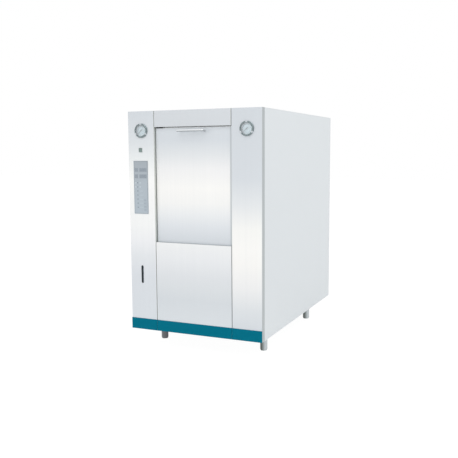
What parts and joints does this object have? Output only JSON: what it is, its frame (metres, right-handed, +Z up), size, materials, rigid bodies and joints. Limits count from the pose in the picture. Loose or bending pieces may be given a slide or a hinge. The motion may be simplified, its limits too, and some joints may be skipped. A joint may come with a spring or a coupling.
{
  "type": "horizontal autoclave",
  "caption": "Floor-standing steam autoclave: stainless cabinet on round legs, sliding front door with bar handle, jacketed square chamber, load rack, gauges, control panel and steam plant.",
  "frame": {"origin": "on the floor, in the middle of the whole machine's width and depth", "axes": "+X to the right as seen from the front, +Y to the rear, +Z up; the door is at -Y"},
  "size_m": [1.07, 1.794, 1.788],
  "materials": {
    "frame_paint": "satin",
    "leg_steel": "satin",
    "side_paint": "satin",
    "front_steel": "vertical brushed",
    "band_paint": "satin",
    "plain_steel": "mill",
    "gauge_case": "satin",
    "gauge_bezel": "polished",
    "gauge_dial": "matt",
    "gauge_glass": "clear",
    "pointer_paint": "satin",
    "switch_black": "gloss",
    "rocker_dark": "gloss",
    "panel_grey": "satin",
    "display_grey": "gloss",
    "key_grey": "satin",
    "slot_dark": "satin",
    "vessel_steel": "satin",
    "gasket_red": "matt",
    "insulation_wool": "matt",
    "wire_steel": "polished",
    "cylinder_alu": "anodised",
    "rod_chrome": "polished",
    "shoe_plastic": "matt",
    "generator_steel": "satin",
    "pump_blue": "satin",
    "fan_black": "matt",
    "pipe_copper": "satin",
    "valve_brass": "satin",
    "lever_red": "satin",
    "cabinet_paint": "satin"
  },
  "bodies": {
    "cabinet": {"corner_posts": "frame_paint", "base_rails": "frame_paint", "vessel_bearers": "frame_paint", "top_rails": "frame_paint", "legs": "leg_steel", "leg_locknuts": "plain_steel", "left_side_panel": "side_paint", "right_side_panel": "side_paint", "top_panel": "side_paint", "rear_panel": "side_paint", "left_column_panel": "front_steel", "right_column_panel": "front_steel", "top_centre_panel": "front_steel", "lower_centre_panel": "front_steel", "kick_bands": "band_paint", "seam_clips": "plain_steel", "gauge_cases": "gauge_case", "gauge_bezels": "gauge_bezel", "gauge_dials": "gauge_dial", "gauge_lenses": "gauge_glass", "switch_bezel": "switch_black", "control_face": "panel_grey", "control_housing": "plain_steel", "panel_indicators": "display_grey", "level_gauge": "slot_dark", "chamber": "vessel_steel", "jacket": "vessel_steel", "end_frame": "vessel_steel", "door_gasket": "gasket_red", "insulation": "insulation_wool", "load_rack": "wire_steel", "shelves": "wire_steel", "chamber_fittings": "wire_steel", "door_guides": "plain_steel", "lift_cylinders": "cylinder_alu", "steam_generator": "generator_steel", "vacuum_pump": "pump_blue", "feed_pump": "pump_blue", "condenser": "generator_steel", "pipework": "pipe_copper", "safety_valves": "valve_brass", "electrical_cabinet": "cabinet_paint", "rear_connections": "generator_steel"},
    "door": {"door_skin": "front_steel", "door_plate": "vessel_steel", "door_ribs": "plain_steel", "door_handle": "leg_steel", "guide_shoes": "shoe_plastic", "rod_brackets": "plain_steel", "cylinder_rods": "rod_chrome"},
    "left_pointer": {"left_pointer": "pointer_paint"},
    "right_pointer": {"right_pointer": "pointer_paint"},
    "power_rocker": {"power_rocker": "rocker_dark"},
    "key_1": {"key_1": "key_grey"},
    "key_2": {"key_2": "key_grey"},
    "key_3": {"key_3": "key_grey"},
    "key_4": {"key_4": "key_grey"},
    "pump_fan": {"pump_fan": "fan_black"},
    "chamber_valve_lever": {"chamber_valve_lever": "lever_red"},
    "jacket_valve_lever": {"jacket_valve_lever": "lever_red"}
  },
  "joints": [
    {"name": "door_slide", "type": "slide", "parent": "cabinet", "child": "door", "axis": [0, 0, -1], "range_m": [0, 0.65]},
    {"name": "left_pointer_turn", "type": "hinge", "parent": "cabinet", "child": "left_pointer", "pos_m": [-0.422, -0.867, 1.646], "axis": [0, 1, 0], "range_deg": [0, 260]},
    {"name": "right_pointer_turn", "type": "hinge", "parent": "cabinet", "child": "right_pointer", "pos_m": [0.422, -0.867, 1.646], "axis": [0, 1, 0], "range_deg": [0, 260]},
    {"name": "power_rocker_tilt", "type": "hinge", "parent": "cabinet", "child": "power_rocker", "pos_m": [-0.431, -0.857, 1.504], "axis": [-1, 0, 0], "range_deg": [0, 16]},
    {"name": "key_1_press", "type": "slide", "parent": "cabinet", "child": "key_1", "axis": [0, 1, 0], "range_m": [0, 0.0008], "stiffness_N_per_m": 200},
    {"name": "key_2_press", "type": "slide", "parent": "cabinet", "child": "key_2", "axis": [0, 1, 0], "range_m": [0, 0.0008], "stiffness_N_per_m": 200},
    {"name": "key_3_press", "type": "slide", "parent": "cabinet", "child": "key_3", "axis": [0, 1, 0], "range_m": [0, 0.0008], "stiffness_N_per_m": 200},
    {"name": "key_4_press", "type": "slide", "parent": "cabinet", "child": "key_4", "axis": [0, 1, 0], "range_m": [0, 0.0008], "stiffness_N_per_m": 200},
    {"name": "pump_fan_spin", "type": "hinge", "parent": "cabinet", "child": "pump_fan", "pos_m": [-0.256, -0.566, 0.3049], "axis": [0, 1, 0], "continuous": true},
    {"name": "chamber_valve_lift", "type": "hinge", "parent": "cabinet", "child": "chamber_valve_lever", "pos_m": [0.164, 0.6013, 1.613], "axis": [1, 0, 0], "range_deg": [0, 40]},
    {"name": "jacket_valve_lift", "type": "hinge", "parent": "cabinet", "child": "jacket_valve_lever", "pos_m": [-0.3245, 0.6013, 1.423], "axis": [1, 0, 0], "range_deg": [0, 40]}
  ]
}
